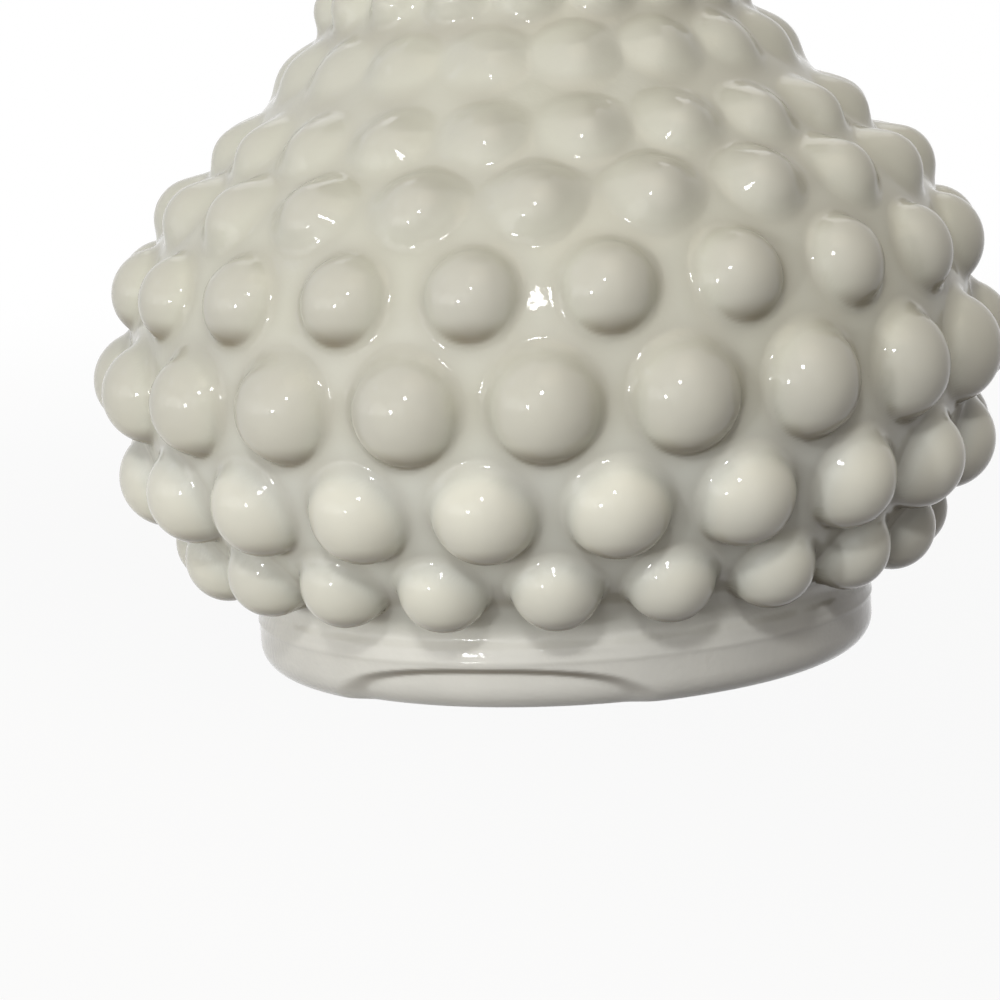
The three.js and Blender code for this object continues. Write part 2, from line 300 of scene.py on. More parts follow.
def relief(distance, angles):
    """How far the skin stands off the wall at each distance (down) and angle (across)."""
    places = outline_at(distance)
    pushes = push_at(distance)
    facing = (pushes * normal_at(distance)).sum(-1)
    lift = np.zeros((len(distance), len(angles)))
    centres = np.array([row["distance"] for row in rows])
    order = np.searchsorted(centres, distance)
    for band in range(len(rows) + 1):
        inside = np.nonzero(order == band)[0]
        if not len(inside):
            continue
        near_rows = rows[max(band - 2, 0):band + 2]
        lift[inside] = march(places[inside], pushes[inside], facing[inside], distance[inside],
                             angles, near_rows)
    return lift


def march(places, pushes, facing, distance, angles, near_rows):
    """Walks in along each push from above the hobs until it meets the rounded union."""
    cos, sin = np.cos(angles), np.sin(angles)
    base = np.stack([places[:, 0:1] * cos, places[:, 0:1] * sin, places[:, 1:2] + 0 * cos], -1)
    out = np.stack([pushes[:, 0:1] * cos, pushes[:, 0:1] * sin, pushes[:, 1:2] + 0 * cos], -1)
    balls = []
    for row in near_rows:
        ball, place, hob_radius = hob_ball(row)
        side = np.clip((distance - row["distance"]) / hob_radius, -1, 1)
        fillet = form_at(row, HOB_FILLETS) + form_at(row, FILLET_LEANS) * side
        pitch = 2 * math.pi / row["hobs"]
        shift = 0.5 if row["shifted"] else 0
        turn = (angles - FRONT) / pitch - shift
        for nearest in (np.floor(turn), np.floor(turn) + 1):
            hob_angle = FRONT + pitch * (nearest + shift)
            centre = np.stack([place[0] * np.cos(hob_angle), place[0] * np.sin(hob_angle),
                               place[1] + 0 * hob_angle], -1)
            balls.append((centre, ball, fillet[:, None]))
    lift = np.full(base.shape[:2], MARCH_FROM)
    for _ in range(MARCH_STEPS):
        point = base + out * lift[..., None]
        to_hob = FAR_AWAY
        fillet_sum = 0.0
        weight_sum = 1e-9
        for centre, ball, fillet in balls:
            gap = np.linalg.norm(point - centre[None], axis=-1) - ball
            weight = np.exp(-gap / FILLET_REACH)
            fillet_sum = fillet_sum + weight * fillet
            weight_sum = weight_sum + weight
            to_hob = soft_min(to_hob, gap, VALLEY_BLEND)
        fillet = fillet_sum / weight_sum
        to_wall = lift * facing[:, None]
        inner = np.hypot(np.maximum(fillet - to_hob, 0), np.maximum(fillet - to_wall, 0))
        to_skin = np.maximum(fillet, np.minimum(to_hob, to_wall)) - inner
        lift = np.maximum(lift - MARCH_SHARE * to_skin, 0)
    return lift


print("hob radius of each row, mm:", [round(float(hob_ball(row)[2]), 2) for row in rows])

# %% [markdown]
# The skin is one grid: rings of points from the rim of the hollow underside, round the foot, up
# the wall, over the mouth and down inside to the well. Each stretch lists its rings as radius and
# height, with the stretches of the wall also carrying their distance, so the relief can be added.

# %% Rings of the skin
BOWL_RING_STEP = 0.27
NECK_RING_STEP = 0.45
MOUTH_RING_STEP = 0.66
FOOT_STEP = 0.22
INNER_STEP = 2.4


def line(start, end, step):
    """Evenly spaced places from a start to just before an end."""
    start, end = np.array(start, float), np.array(end, float)
    count = max(int(math.ceil(np.linalg.norm(end - start) / step)), 1)
    return start + (end - start) * np.linspace(0, 1, count, endpoint=False)[:, None]


def arc(centre, radius, start_degrees, end_degrees, step):
    """Places along a round, from a start angle to just before an end angle."""
    sweep = math.radians(end_degrees - start_degrees)
    count = max(int(math.ceil(abs(sweep) * radius / step)), 2)
    angles = math.radians(start_degrees) + sweep * np.linspace(0, 1, count, endpoint=False)
    return np.stack([centre[0] + radius * np.cos(angles), centre[1] + radius * np.sin(angles)], -1)


def stretch(start, end, step=BOWL_RING_STEP):
    """Distances along the wall from a start to just before an end."""
    count = int(math.ceil((end - start) / step))
    return start + (end - start) * np.linspace(0, 1, count, endpoint=False)


foot_rings = np.vstack([
    line((RECESS_ROOF_RADIUS, RECESS_HEIGHT), (RECESS_RADIUS, 0), 0.8),
    line((RECESS_RADIUS, 0), (FOOT_RADIUS - FOOT_EDGE_RADIUS, 0), 0.6),
    arc((FOOT_RADIUS - FOOT_EDGE_RADIUS, FOOT_EDGE_RADIUS), FOOT_EDGE_RADIUS, -90, 0, FOOT_STEP),
    line((FOOT_RADIUS, FOOT_EDGE_RADIUS), (FOOT_RADIUS, RECESS_HEIGHT), FOOT_STEP),
])
well_distance = distance_at_height(WELL_FLOOR_HEIGHT)
print("rings in the foot:", len(foot_rings))

# %% Rings of the wall, zone by zone
zone_rows = {name: [row for row in rows if row["zone"] == name] for name in ZONES[2:]}
zone_low = {name: zone_rows[name][0]["low"] for name in ZONES[2:]}
zone_low["lower_bowl"] = well_distance
zone_low["well_floor"] = 0.0
zone_ends = [zone_low[name] for name in ZONES[2:]] + [OUTLINE_LENGTH]
ring_step = {"neck": NECK_RING_STEP, "crimped_mouth": MOUTH_RING_STEP}
wall_distance = {
    name: stretch(zone_low[name], end, ring_step.get(name, BOWL_RING_STEP))
    for name, end in zip(ZONES[1:], zone_ends)
}

inner_distance = np.linspace(0, OUTLINE_LENGTH, OUTLINE_SAMPLES + 1)
inner_wall = outline_at(inner_distance) - WALL * normal_at(inner_distance)
inner_wall = inner_wall[inner_wall[:, 1] > WELL_FLOOR_HEIGHT + WELL_CORNER_RADIUS]


def inner_radius(height):
    """Radius of the inside of the wall at a height."""
    return np.interp(height, inner_wall[:, 1], inner_wall[:, 0])


mouth_normal = normal_at(np.array([OUTLINE_LENGTH]))[0]
mouth_turn = math.degrees(math.atan2(mouth_normal[1], mouth_normal[0]))
mouth_centre = MOUTH - mouth_normal * WALL / 2
mouth_edge = arc(mouth_centre, WALL / 2, mouth_turn, mouth_turn + 180, 0.45)
seams = [outline_at(zone_low[name])[1] for name in ZONES[3:]]
inner_levels = [WELL_FLOOR_HEIGHT + WELL_CORNER_RADIUS, *seams, inner_wall[-1, 1]]


def inner_rings(high, low):
    """Rings down the inside of the wall from one level to just before another."""
    heights = line((0, high), (0, low), INNER_STEP)[:, 1]
    return np.stack([inner_radius(heights), heights], -1)


corner_centre = (inner_radius(inner_levels[0]) - WELL_CORNER_RADIUS, inner_levels[0])
corner_end = np.array([[corner_centre[0], WELL_FLOOR_HEIGHT]])
well_corner = np.vstack([arc(corner_centre, WELL_CORNER_RADIUS, 0, -90, 0.7), corner_end])
print("seams between zones, mm:", [round(float(level), 2) for level in seams])

# %% [markdown]
# The plain form isn't quite round. A faint ridge, perhaps a mould seam, runs round the top of the
# foot. The rows above the belly lean a little to one side, as a neck may when it cools. A crimping
# tool lifts the mouth and pushes it out, six times round, which dies out down the flare: the mouth
# is out of the photograph, so its crimps are the usual ones. And low on the front of the foot lies
# a shallow flat. Each is one smooth formula on the rings, so none needs a cut.

# %% Ridge, lean, crimps and the flat on the foot
RIDGE_LEVEL = RECESS_HEIGHT + 0.1
RIDGE_HEIGHT = 0.14
RIDGE_WIDTH = 0.28
LEAN_HEIGHTS = (25.0, 40.0, 52.0, 70.0, 95.0)
LEANS = np.radians((0.0, 0.8, 1.3, 1.3, 0.0))
CRIMPS = 6
CRIMP_LIFT = 2.4
CRIMP_PUSH = 2.6
CRIMP_DEPTH = 28.0
FLAT_WIDTH = 35.0
FLAT_HEIGHT = RECESS_HEIGHT - 0.4
FLAT_DEPTH = 1.15
FLAT_BAND = 0.20
FLAT_SQUARENESS = 2.5
FLAT_TURN = math.radians(-14.0)
FOOT_SKIN_FROM = RECESS_RADIUS + 1
FOOT_SKIN_UNTIL = 2 * RECESS_HEIGHT
angles = FRONT + 2 * math.pi * np.arange(COLUMNS) / COLUMNS


def turn_rings(places):
    """Points (ring, column, xyz) of rings given as radius and height, with ridge, lean and crimps."""
    radius = places[..., 0]
    height = places[..., 1]
    if radius.ndim == 1:
        radius = np.repeat(radius[:, None], COLUMNS, 1)
        height = np.repeat(height[:, None], COLUMNS, 1)
    on_foot = (height < FOOT_SKIN_UNTIL) * (radius > FOOT_SKIN_FROM)
    radius = radius + RIDGE_HEIGHT * on_foot * np.exp(-((height - RIDGE_LEVEL) / RIDGE_WIDTH) ** 2)
    strength = np.clip(1 - (MOUTH[1] - height) / CRIMP_DEPTH, 0, 1) ** 2
    wave = np.cos(CRIMPS * (angles - FRONT)) * strength
    radius = radius + CRIMP_PUSH * wave
    lean = np.tan(np.interp(height, LEAN_HEIGHTS, LEANS))
    lifted = height + CRIMP_LIFT * wave + lean * radius * np.cos(angles)
    return np.stack([radius * np.cos(angles), radius * np.sin(angles), lifted], -1)


def press_flat(points):
    """Presses the flat, a squarish oval cut off by the table, into the front of the foot."""
    around = np.arctan2(points[..., 1], points[..., 0]) - FRONT - FLAT_TURN
    radius = np.hypot(points[..., 0], points[..., 1])
    across = FOOT_RADIUS * np.sin(around) / (FLAT_WIDTH / 2)
    upward = points[..., 2] / FLAT_HEIGHT
    oval = np.abs(across) ** FLAT_SQUARENESS + np.abs(upward) ** FLAT_SQUARENESS
    oval = oval ** (1 / FLAT_SQUARENESS) + (np.cos(around) < 0) * FAR_AWAY
    share = np.clip((1 - oval) / FLAT_BAND, 0, 1)
    depth = FLAT_DEPTH * share * share * (3 - 2 * share) * (radius > FOOT_SKIN_FROM)
    pressed = points.copy()
    pressed[..., :2] *= ((radius - depth) / radius)[..., None]
    return pressed


# %% Points of the whole skin
column_share = angles[:COLUMNS // SYMMETRY]
skin_lift = {}
wall_points = {}
for name in ZONES[1:]:
    distance = wall_distance[name]
    lift = np.tile(relief(distance, column_share), (1, SYMMETRY))
    skin_lift[name] = lift
    places = outline_at(distance)[:, None] + push_at(distance)[:, None] * lift[..., None]
    wall_points[name] = turn_rings(places)
    print(name, "rings", len(distance), "highest hob, mm", round(float(lift.max()), 2))

foot_points = press_flat(turn_rings(foot_rings))
mouth_points = turn_rings(mouth_edge)
inner_points = {
    name: turn_rings(inner_rings(high, low))
    for name, low, high in zip(ZONES[2:], inner_levels, inner_levels[1:])
}
well_points = turn_rings(well_corner)

# %% [markdown]
# Each zone becomes one closed solid: its stretch of the skin outside, its stretch inside, and a
# flat ring across the glass where it meets its neighbour. Both neighbours use the same points
# there. The normals come from the whole skin, so light runs over a seam as if it weren't there.

# %% Normals of the whole skin
def skin_normals(points):
    """Outward normals of a stack of rings, from the slopes between neighbours."""
    around = np.roll(points, -1, 1) - np.roll(points, 1, 1)
    up = np.gradient(points, axis=0)
    normals = np.cross(around, up)
    return normals / np.maximum(np.linalg.norm(normals, axis=-1, keepdims=True), 1e-12)


stack = [foot_points, *[wall_points[name] for name in ZONES[1:]], mouth_points]
stack += [inner_points[name] for name in reversed(ZONES[2:])] + [well_points]
skin = np.concatenate(stack)
normals = skin_normals(skin)
starts = np.cumsum([0] + [len(points) for points in stack])
first_ring = dict(zip(["foot", *ZONES[1:], "mouth"], starts))
first_inner = dict(zip([*reversed(ZONES[2:]), "well"], starts[len(ZONES) + 1:]))
print("skin rings and points:", skin.shape[0], skin.shape[0] * COLUMNS)

# %% [markdown]
# The hollows between the hobs and the undersides of the hobs are painted darker and browner than
# the rest. That is painted shade, the shade that falls there, and under the hobs a painted dark
# reflection as well. Four masks, one number for each point of the skin, guide the material: how
# far the skin stands off the wall, how sharply it caves in, how sheltered it lies among its
# neighbours, and how far it faces down under a hob. The last two place the painted shade. They
# are worked out from the shape and ride on the mesh, so no view changes them.

# %% Masks of the skin
HOLLOW_GAIN = 1.2
SHELTER_REACH = 8
SHELTER_DEPTH = 1.4
TURN_FROM, TURN_TO = 0.45, 0.85
LEVEL_MARGIN = 0.12
BENEATH_HEIGHTS = (0.6, 1.8, 38.0, 47.0, 70.0)
BENEATH_LEVELS = (0.0, 1.0, 1.0, 0.3, 0.0)


def skin_hollow():
    """How hollow the skin is, 0 to 1: the sum of its two bends, in 1/mm, where it caves in."""
    bend = 0
    for axis in (0, 1):
        along = np.roll(skin, -1, axis) - np.roll(skin, 1, axis)
        change = np.roll(normals, -1, axis) - np.roll(normals, 1, axis)
        bend = bend + (along * change).sum(-1) / np.maximum((along ** 2).sum(-1), 1e-6)
    return np.clip(-bend * HOLLOW_GAIN, 0, 1)


def neighbourhood_mean(field, reach):
    """The mean over a square of rings and columns, by running sums."""
    for axis, mode in ((0, "edge"), (1, "wrap")):
        margin = [(0, 0), (0, 0)]
        margin[axis] = (reach + 1, reach)
        total = np.moveaxis(np.cumsum(np.pad(field, margin, mode=mode), axis=axis), axis, 0)
        window = 2 * reach + 1
        field = np.moveaxis((total[window:] - total[:-window]) / window, 0, axis)
    return field


def ring_lift():
    """How far each point of the skin stands off the wall, in mm."""
    lift = np.zeros(skin.shape[:2])
    for name in ZONES[1:]:
        lift[first_ring[name]:first_ring[name] + len(skin_lift[name])] = skin_lift[name]
    return lift


def facing_down():
    """How far the skin faces down along its own wall, or plainly down, 0 to 1."""
    upward = np.tile([0.0, 1.0], (len(skin), 1))
    for name in ZONES[1:]:
        outward = normal_at(wall_distance[name])
        first = first_ring[name]
        upward[first:first + len(outward)] = np.stack([-outward[:, 1], outward[:, 0]], -1)
    outward_share = normals[..., 0] * np.cos(angles) + normals[..., 1] * np.sin(angles)
    turned = -(upward[:, :1] * outward_share + upward[:, 1:] * normals[..., 2])
    turned = np.maximum(turned, -normals[..., 2] - LEVEL_MARGIN)
    share = np.clip((turned - TURN_FROM) / (TURN_TO - TURN_FROM), 0, 1)
    share *= np.interp(skin[..., 2], BENEATH_HEIGHTS, BENEATH_LEVELS)
    share[first_ring["mouth"]:] = 0
    return share * share * (3 - 2 * share)


lift_of_ring = ring_lift()
shelter = (neighbourhood_mean(lift_of_ring, SHELTER_REACH) - lift_of_ring) / SHELTER_DEPTH
skin_masks = {
    "hob_lift": lift_of_ring,
    "hollow": skin_hollow(),
    "shelter": np.clip(shelter, 0, 1),
    "beneath": facing_down(),
}
print("mean of each mask:", {title: round(float(field.mean()), 3) for title, field in skin_masks.items()})


# %% Closed pieces
def make_mesh(name, points, ring_normals, hidden, masks):
    """A closed mesh from a loop of rings. A hidden ring starts a flat face of its own."""
    count = len(points)
    ring = np.arange(count)
    following = np.roll(ring, -1)
    column = np.arange(COLUMNS)
    beside = np.roll(column, -1)
    corners = np.stack([
        ring[:, None] * COLUMNS + column,
        ring[:, None] * COLUMNS + beside,
        following[:, None] * COLUMNS + beside,
        following[:, None] * COLUMNS + column,
    ], -1).reshape(-1, 4)
    flat_points = points.reshape(-1, 3)
    flat_normals = ring_normals.reshape(-1, 3)
    corner_normals = flat_normals[corners]
    is_hidden = np.repeat(hidden, COLUMNS)
    diagonal = flat_points[corners[is_hidden]]
    face_normals = np.cross(diagonal[:, 2] - diagonal[:, 0], diagonal[:, 3] - diagonal[:, 1])
    face_normals /= np.maximum(np.linalg.norm(face_normals, axis=-1, keepdims=True), 1e-12)
    corner_normals[is_hidden] = face_normals[:, None]
    mesh = bpy.data.meshes.new(name)
    mesh.vertices.add(len(flat_points))
    mesh.vertices.foreach_set("co", (flat_points * MM).ravel())
    mesh.loops.add(corners.size)
    mesh.loops.foreach_set("vertex_index", corners.ravel())
    mesh.polygons.add(len(corners))
    mesh.polygons.foreach_set("loop_start", np.arange(0, corners.size, 4))
    mesh.polygons.foreach_set("use_smooth", np.ones(len(corners), bool))
    mesh.update(calc_edges=True)
    mesh.normals_split_custom_set(corner_normals.reshape(-1, 3))
    for title, values in masks.items():
        attribute = mesh.attributes.new(title, "FLOAT", "POINT")
        attribute.data.foreach_set("value", values.ravel())
    return mesh


def masks_of(order):
    """The masks of some rings of the skin, for the glass to read."""
    return {title: field[order] for title, field in skin_masks.items()}


def add_piece(name, node, mesh):
    """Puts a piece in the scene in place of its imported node."""
    piece = bpy.data.objects.new(name, mesh)
    bpy.context.scene.collection.objects.link(piece)
    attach(piece, "root")
    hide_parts(node)
    print(name, "faces", len(mesh.polygons))
    return piece


def ring_range(start, count):
    """The numbers of some rings that follow each other."""
    return list(range(int(start), int(start) + count))


def zone_rings(name):
    """Outside rings of a zone, then its inside rings, and which of them end at a hidden cut."""
    order = ZONES.index(name)
    after = ZONES[order + 1] if order + 1 < len(ZONES) else None
    outer = ring_range(first_ring[name], len(wall_points[name]))
    inner = ring_range(first_inner[name], len(inner_points[name]))
    if after:
        outer.append(first_ring[after])
    else:
        outer += ring_range(first_ring["mouth"], len(mouth_points))
    if name == ZONES[2]:
        inner += ring_range(first_inner["well"], len(well_points))
    else:
        inner.append(first_inner[ZONES[order - 1]])
    hidden = np.zeros(len(outer) + len(inner), bool)
    hidden[-1] = True
    hidden[len(outer) - 1] = after is not None
    return outer + inner, hidden


pieces = []
for name in ZONES[2:]:
    order, hidden = zone_rings(name)
    mesh = make_mesh(f"glass_{name}", skin[order], normals[order], hidden, masks_of(order))
    pieces.append(add_piece(f"glass_{name}", name, mesh))

order = ring_range(first_ring["foot"], len(foot_points) + 1)
hidden = np.zeros(len(order), bool)
hidden[-1] = True
mesh = make_mesh("glass_foot_ring", skin[order], normals[order], hidden, masks_of(order))
pieces.append(add_piece("glass_foot_ring", "foot_ring", mesh))


# %% Floor of the well
def disc_rings(radius, height, counts=4):
    """Rings from near the axis out to a radius."""
    radii = np.linspace(0.02, radius, counts + 1)[:-1]
    return turn_rings(np.stack([radii, np.full(counts, height)], -1))


roof_rings = disc_rings(RECESS_ROOF_RADIUS, RECESS_HEIGHT)
floor_rings = disc_rings(corner_centre[0], WELL_FLOOR_HEIGHT)[::-1]
collar_order = ring_range(first_ring["well_floor"], len(wall_points["well_floor"]) + 1)
corner_ring = skin[first_inner["well"] + len(well_points) - 1][None]
foot_top = skin[first_ring["foot"]][None]
points = np.concatenate([roof_rings, foot_top, skin[collar_order], corner_ring, floor_rings])
up = np.zeros_like(points)
up[:, :, 2] = 1
up[:len(roof_rings) + 1, :, 2] = -1
up[len(roof_rings) + 1:len(roof_rings) + 1 + len(collar_order)] = normals[collar_order]
hidden = np.zeros(len(points), bool)
hidden[:len(roof_rings) + 1] = True
hidden[len(roof_rings) + len(collar_order):] = True
masks = {title: np.zeros(points.shape[:2]) for title in masks_of(collar_order)}
for title, values in masks_of(collar_order).items():
    masks[title][len(roof_rings) + 1:len(roof_rings) + 1 + len(collar_order)] = values
mesh = make_mesh("glass_well_floor", points, up, hidden, masks)
pieces.append(add_piece("glass_well_floor", "well_floor", mesh))

# %% [markdown]
# Milk glass is white all through, because fine particles in it scatter the light. In the
# photograph the wall between the hobs is a little greener than the hobs. A plain white would look
# like plaster. True scattering under the surface could soften it, but takes longer to render. So
# the finish is built from node groups, each a small effect with named sockets: cloudy drifts in the
# white, a ripple in the skin, and the odd dark speck.

# %% Node helpers
def add_node(tree, kind, **settings):
    """A new node with its settings."""
    node = tree.nodes.new(kind)
    for name, value in settings.items():
        setattr(node, name, value)
    return node


def start_group(name, inputs, output, output_kind="NodeSocketFloat"):
    """An empty group with named inputs (kind and value) and one output."""
    group = bpy.data.node_groups.new(name, "ShaderNodeTree")
    for title, kind, value in inputs:
        socket = group.interface.new_socket(title, in_out="INPUT", socket_type=kind)
        if value is not None:
            socket.default_value = value
    group.interface.new_socket(output, in_out="OUTPUT", socket_type=output_kind)
    return group, add_node(group, "NodeGroupInput"), add_node(group, "NodeGroupOutput")


def use_group(tree, group, vector, values):
    """A group placed in a material, with its own values."""
    node = add_node(tree, "ShaderNodeGroup", node_tree=group)
    tree.links.new(vector, node.inputs["Vector"])
    for title, value in values.items():
        node.inputs[title].default_value = value
    return node


def calculate(tree, operation, first, second, clamp=False):
    """A Math node on two values, each a socket or a number."""
    node = add_node(tree, "ShaderNodeMath", operation=operation, use_clamp=clamp)
    for socket, value in zip(node.inputs, (first, second)):
        if isinstance(value, (int, float)):
            socket.default_value = value
        else:
            tree.links.new(value, socket)
    return node.outputs[0]


def scale_between(tree, value, low, high):
    """A value stretched smoothly to 0 at low and 1 at high."""
    node = add_node(tree, "ShaderNodeMapRange", interpolation_type="SMOOTHSTEP")
    tree.links.new(value, node.inputs["Value"])
    node.inputs["From Min"].default_value = low
    node.inputs["From Max"].default_value = high
    return node.outputs["Result"]


def blend_colours(tree, share, first, second):
    """A colour between two, each a socket or a plain red, green and blue."""
    node = add_node(tree, "ShaderNodeMix", data_type="RGBA")
    tree.links.new(share, node.inputs[0])
    for socket, colour in zip((node.inputs[6], node.inputs[7]), (first, second)):
        if isinstance(colour, tuple):
            socket.default_value = (*colour, 1)
        else:
            tree.links.new(colour, socket)
    return node.outputs[2]


# %% Groups: clouds, ripple and specks
FLOAT, VECTOR = "NodeSocketFloat", "NodeSocketVector"


def cloud_group():
    """Soft drifts, from 0 to 1, with a size in 1/m."""
    inputs = [("Vector", VECTOR, None), ("Scale", FLOAT, 80.0)]
    group, given, result = start_group("cloudy_drift", inputs, "Mask")
    noise = add_node(group, "ShaderNodeTexNoise")
    noise.inputs["Detail"].default_value = 2
    group.links.new(given.outputs["Vector"], noise.inputs["Vector"])
    group.links.new(given.outputs["Scale"], noise.inputs["Scale"])
    group.links.new(scale_between(group, noise.outputs[0], 0.3, 0.7), result.inputs["Mask"])
    return group


def ripple_group():
    """The skin's unevenness: long soft waves everywhere, and a fine ripple where a mask lets it."""
    inputs = [("Vector", VECTOR, None), ("Wave Scale", FLOAT, 400.0), ("Ripple Scale", FLOAT, 2200.0),
              ("Wave Share", FLOAT, 0.5), ("Ripple Mask", FLOAT, 0.0)]
    group, given, result = start_group("mould_ripple", inputs, "Height")
    heights = []
    for title in ("Wave Scale", "Ripple Scale"):
        noise = add_node(group, "ShaderNodeTexNoise")
        noise.inputs["Detail"].default_value = 1
        group.links.new(given.outputs["Vector"], noise.inputs["Vector"])
        group.links.new(given.outputs[title], noise.inputs["Scale"])
        heights.append(noise.outputs[0])
    wave = calculate(group, "MULTIPLY", heights[0], given.outputs["Wave Share"])
    ripple = calculate(group, "MULTIPLY", heights[1], given.outputs["Ripple Mask"])
    group.links.new(calculate(group, "ADD", wave, ripple), result.inputs["Height"])
    return group


def speck_group():
    """Rare round specks: a cell shows its speck only where its own random number is high."""
    inputs = [("Vector", VECTOR, None), ("Scale", FLOAT, 160.0), ("Size", FLOAT, 0.03),
              ("Rarity", FLOAT, 0.93)]
    group, given, result = start_group("stray_speck", inputs, "Mask")
    cells = add_node(group, "ShaderNodeTexVoronoi")
    group.links.new(given.outputs["Vector"], cells.inputs["Vector"])
    group.links.new(given.outputs["Scale"], cells.inputs["Scale"])
    chance = add_node(group, "ShaderNodeSeparateColor")
    group.links.new(cells.outputs["Color"], chance.inputs[0])
    near = calculate(group, "LESS_THAN", cells.outputs["Distance"], given.outputs["Size"])
    chosen = calculate(group, "GREATER_THAN", chance.outputs[0], given.outputs["Rarity"])
    group.links.new(calculate(group, "MULTIPLY", near, chosen), result.inputs["Mask"])
    return group


clouds = cloud_group()
ripple = ripple_group()
specks = speck_group()
print("node groups:", [group.name for group in (clouds, ripple, specks)])

# %% [markdown]
# The glass itself is one Principled shader. Its colour goes from the greenish ground between the
# hobs to their warmer tops, by the lift that the mesh carries. It is painted paler low on the bowl
# and in the foot, with the hob tops there lighter still, which is painted light from the table
# below. It is painted darker and browner in the sheltered hollows and under the hobs, which is
# painted shade. The polish is high, with faint smears, and it is scuffed only where the foot
# stands. The ripple is weak on the smooth hobs and strongest in the hollows and on the foot, so a
# lamp breaks up there into small glints.

# %% Milk glass
GROUND_COLOUR = (0.705, 0.707, 0.610)
TOP_COLOUR = (0.695, 0.688, 0.600)
# Painted light: paler low on the bowl and in the foot, with lighter hob tops low down.
LOW_GROUND_LIT_COLOUR = (0.790, 0.805, 0.735)
LOW_TOP_LIT_COLOUR = (0.880, 0.875, 0.765)
FOOT_LIT_COLOUR = (0.900, 0.890, 0.820)
LOW_UNTIL, HIGH_FROM = 0.024, 0.034
FOOT_UNTIL, BOWL_FROM = 0.0065, 0.0105
DRIFT_COLOUR = (0.650, 0.645, 0.595)
# Painted shade: the colour of the shade in the hollows and under the hobs.
PAINTED_SHADE_COLOUR = (0.260, 0.215, 0.150)
SPECK_COLOUR = (0.300, 0.270, 0.220)
DRIFT_SHARE = 0.25
SHELTER_SHADE_SHARE = 0.65
BENEATH_SHADE_SHARE = 0.80
SPECK_SHARE = 0.6
RAISED_FROM, RAISED_TO = 0.4, 2.6
DRIFT_SCALE, SMEAR_SCALE, SPECK_SCALE = 90.0, 260.0, 160.0
WAVES = {"Wave Scale": 420.0, "Ripple Scale": 1500.0, "Wave Share": 0.9}
GLASS_IOR = 1.5
GLOSS_LEVEL = 0.3
POLISH = 0.055
SMEAR = 0.03
SCUFF = 0.30
SCUFF_LOW, SCUFF_HIGH = 0.0002, 0.0007
RIPPLE_HEIGHT = 0.000035
GROUND_RIPPLE, RAISED_RIPPLE, HOLLOW_RIPPLE, FOOT_RIPPLE = 0.56, -0.50, 0.30, 0.60


def milk_glass():
    """Opaque white opal glass with a high polish."""
    material = bpy.data.materials.new("milk_glass")
    material.use_nodes = True
    tree = material.node_tree
    shader = tree.nodes["Principled BSDF"]
    shader.inputs["IOR"].default_value = GLASS_IOR
    shader.inputs["Specular IOR Level"].default_value = GLOSS_LEVEL
    place = add_node(tree, "ShaderNodeTexCoord").outputs["Object"]
    lift, hollow, shelter, beneath = [
        add_node(tree, "ShaderNodeAttribute", attribute_name=title).outputs["Fac"] for title in skin_masks
    ]
    drift = use_group(tree, clouds, place, {"Scale": DRIFT_SCALE}).outputs["Mask"]
    smear = use_group(tree, clouds, place, {"Scale": SMEAR_SCALE}).outputs["Mask"]
    speck = use_group(tree, specks, place, {"Scale": SPECK_SCALE}).outputs["Mask"]

    height = add_node(tree, "ShaderNodeSeparateXYZ")
    tree.links.new(place, height.inputs[0])
    # Painted light from the table below: paler low on the bowl, its hob tops and the foot.
    high = scale_between(tree, height.outputs["Z"], LOW_UNTIL, HIGH_FROM)
    above_foot = scale_between(tree, height.outputs["Z"], FOOT_UNTIL, BOWL_FROM)
    ground = blend_colours(tree, high, LOW_GROUND_LIT_COLOUR, GROUND_COLOUR)
    ground = blend_colours(tree, above_foot, FOOT_LIT_COLOUR, ground)
    top = blend_colours(tree, high, LOW_TOP_LIT_COLOUR, TOP_COLOUR)
    raised = scale_between(tree, lift, RAISED_FROM, RAISED_TO)
    colour = blend_colours(tree, raised, ground, top)
    # The shelter and beneath layers are painted shade; the drifts and specks are the glass's own colour.
    layers = [
        (drift, DRIFT_SHARE, DRIFT_COLOUR),
        (shelter, SHELTER_SHADE_SHARE, PAINTED_SHADE_COLOUR),
        (beneath, BENEATH_SHADE_SHARE, PAINTED_SHADE_COLOUR),
        (speck, SPECK_SHARE, SPECK_COLOUR),
    ]
    for mask, most, tint in layers:
        colour = blend_colours(tree, calculate(tree, "MULTIPLY", mask, most), colour, tint)
    tree.links.new(colour, shader.inputs["Base Color"])

    clear = scale_between(tree, height.outputs["Z"], SCUFF_LOW, SCUFF_HIGH)
    scuff = calculate(tree, "MULTIPLY", calculate(tree, "SUBTRACT", 1.0, clear), SCUFF)
    polish = calculate(tree, "MULTIPLY_ADD", smear, SMEAR)
    polish.node.inputs[2].default_value = POLISH
    tree.links.new(calculate(tree, "ADD", polish, scuff), shader.inputs["Roughness"])

    relief_node = use_group(tree, ripple, place, WAVES)
    rippled = calculate(tree, "MULTIPLY_ADD", raised, RAISED_RIPPLE)
    rippled.node.inputs[2].default_value = GROUND_RIPPLE
    rippled = calculate(tree, "ADD", rippled, calculate(tree, "MULTIPLY", hollow, HOLLOW_RIPPLE))
    on_foot = calculate(tree, "SUBTRACT", 1.0, above_foot)
    rippled = calculate(tree, "ADD", rippled, calculate(tree, "MULTIPLY", on_foot, FOOT_RIPPLE))
    tree.links.new(rippled, relief_node.inputs["Ripple Mask"])
    bump = add_node(tree, "ShaderNodeBump")
    bump.inputs["Distance"].default_value = RIPPLE_HEIGHT
    tree.links.new(relief_node.outputs["Height"], bump.inputs["Height"])
    tree.links.new(bump.outputs[0], shader.inputs["Normal"])
    return material


glass = milk_glass()
for piece in pieces:
    piece.data.materials.append(glass)
print("glass nodes:", len(glass.node_tree.nodes))
